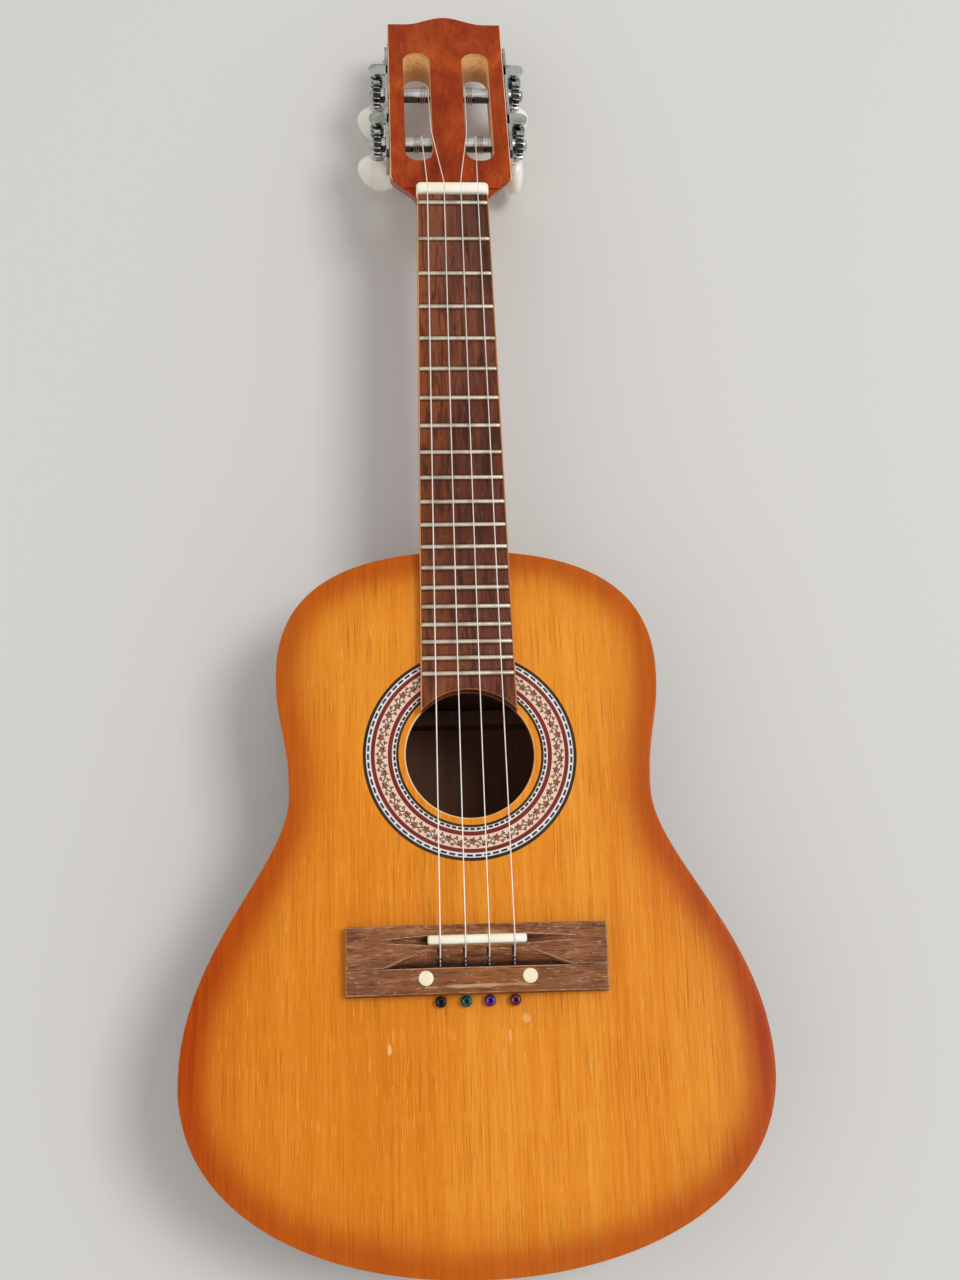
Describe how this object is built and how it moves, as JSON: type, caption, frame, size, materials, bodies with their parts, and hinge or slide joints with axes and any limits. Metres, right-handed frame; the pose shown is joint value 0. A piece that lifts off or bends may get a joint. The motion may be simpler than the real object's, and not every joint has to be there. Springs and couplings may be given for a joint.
{
  "type": "cavaquinho",
  "caption": "Small plucked string instrument with a flat hollow waisted body, a fretted neck and a slotted head with open worm-and-gear machine heads.",
  "frame": {"origin": "under the middle of the whole instrument, on the plane of the back plate's outer face", "axes": "+Z from the back plate to the soundboard, +Y from the tail to the head along the strings, +X towards the treble side"},
  "size_m": [0.2338, 0.5912, 0.0733],
  "materials": {
    "soundboard": "amber lacquer with a red-brown sunburst",
    "body_wood": "red-brown gloss lacquer",
    "inner_wood": "bare sanded wood",
    "rosette": "inlaid rings in black, cream and dark red",
    "neck_wood": "red-brown stained gloss lacquer",
    "fretboard": "oiled dark brown wood",
    "bridge": "dry worn brown wood",
    "bone": "cream bone-like plastic",
    "string_steel": "bright plain steel",
    "nickel": "aged nickel plate",
    "roller_steel": "turned steel",
    "button": "cream pearl plastic",
    "bead_navy": "dark blue anodised",
    "bead_green": "blue-green anodised",
    "bead_purple": "purple anodised",
    "bead_plum": "plum anodised"
  },
  "bodies": {
    "root": {"soundboard": "soundboard", "back_plate": "body_wood", "rib_bass": "body_wood", "rib_treble": "body_wood", "rosette": "rosette", "neck_block": "inner_wood", "tail_block": "inner_wood", "lining_top_bass": "inner_wood", "lining_top_treble": "inner_wood", "lining_back_bass": "inner_wood", "lining_back_treble": "inner_wood", "soundboard_brace_upper": "inner_wood", "soundboard_brace_lower": "inner_wood", "back_brace_upper": "inner_wood", "back_brace_lower": "inner_wood", "bridge_patch": "inner_wood", "neck": "neck_wood", "fretboard": "fretboard", "nut": "bone", "bridge": "bridge", "saddle": "bone", "bridge_dot_bass": "bone", "bridge_dot_treble": "bone", "tuner_plate_bass": "nickel", "tuner_plate_treble": "nickel", "string_1": "string_steel", "string_2": "string_steel", "string_3": "string_steel", "string_4": "string_steel", "string_bead_1": "bead_plum", "string_bead_2": "bead_purple", "string_bead_3": "bead_green", "string_bead_4": "bead_navy"},
    "knob_1": {"worm_1": "nickel", "button_1": "button"},
    "roller_set_1": {"roller_1": "roller_steel", "gear_1": "nickel", "gear_screw_1": "nickel", "string_wrap_1": "string_steel"},
    "knob_2": {"worm_2": "nickel", "button_2": "button"},
    "roller_set_2": {"roller_2": "roller_steel", "gear_2": "nickel", "gear_screw_2": "nickel", "string_wrap_2": "string_steel"},
    "knob_3": {"worm_3": "nickel", "button_3": "button"},
    "roller_set_3": {"roller_3": "roller_steel", "gear_3": "nickel", "gear_screw_3": "nickel", "string_wrap_3": "string_steel"},
    "knob_4": {"worm_4": "nickel", "button_4": "button"},
    "roller_set_4": {"roller_4": "roller_steel", "gear_4": "nickel", "gear_screw_4": "nickel", "string_wrap_4": "string_steel"}
  },
  "joints": [
    {"name": "knob_turn_1", "type": "hinge", "parent": "root", "child": "knob_1", "pos_m": [0.0344, 0.22153, 0.04399], "axis": [0, 0.225, 0.9744], "continuous": true},
    {"name": "roller_turn_1", "type": "hinge", "parent": "root", "child": "roller_set_1", "pos_m": [0.0145, 0.21237, 0.0461], "axis": [1, 0, 0], "continuous": true},
    {"name": "knob_turn_2", "type": "hinge", "parent": "root", "child": "knob_2", "pos_m": [0.0344, 0.25563, 0.03611], "axis": [0, 0.225, 0.9744], "continuous": true},
    {"name": "roller_turn_2", "type": "hinge", "parent": "root", "child": "roller_set_2", "pos_m": [0.0145, 0.24647, 0.03823], "axis": [1, 0, 0], "continuous": true},
    {"name": "knob_turn_3", "type": "hinge", "parent": "root", "child": "knob_3", "pos_m": [-0.0344, 0.25563, 0.03611], "axis": [0, 0.225, 0.9744], "continuous": true},
    {"name": "roller_turn_3", "type": "hinge", "parent": "root", "child": "roller_set_3", "pos_m": [-0.0145, 0.24647, 0.03823], "axis": [1, 0, 0], "continuous": true},
    {"name": "knob_turn_4", "type": "hinge", "parent": "root", "child": "knob_4", "pos_m": [-0.0344, 0.22153, 0.04399], "axis": [0, 0.225, 0.9744], "continuous": true},
    {"name": "roller_turn_4", "type": "hinge", "parent": "root", "child": "roller_set_4", "pos_m": [-0.0145, 0.21237, 0.0461], "axis": [1, 0, 0], "continuous": true}
  ],
  "couplings": [
    {"joint": "roller_turn_1", "follows": "knob_turn_1", "ratio": -0.0625},
    {"joint": "roller_turn_2", "follows": "knob_turn_2", "ratio": -0.0625},
    {"joint": "roller_turn_3", "follows": "knob_turn_3", "ratio": -0.0625},
    {"joint": "roller_turn_4", "follows": "knob_turn_4", "ratio": -0.0625}
  ]
}
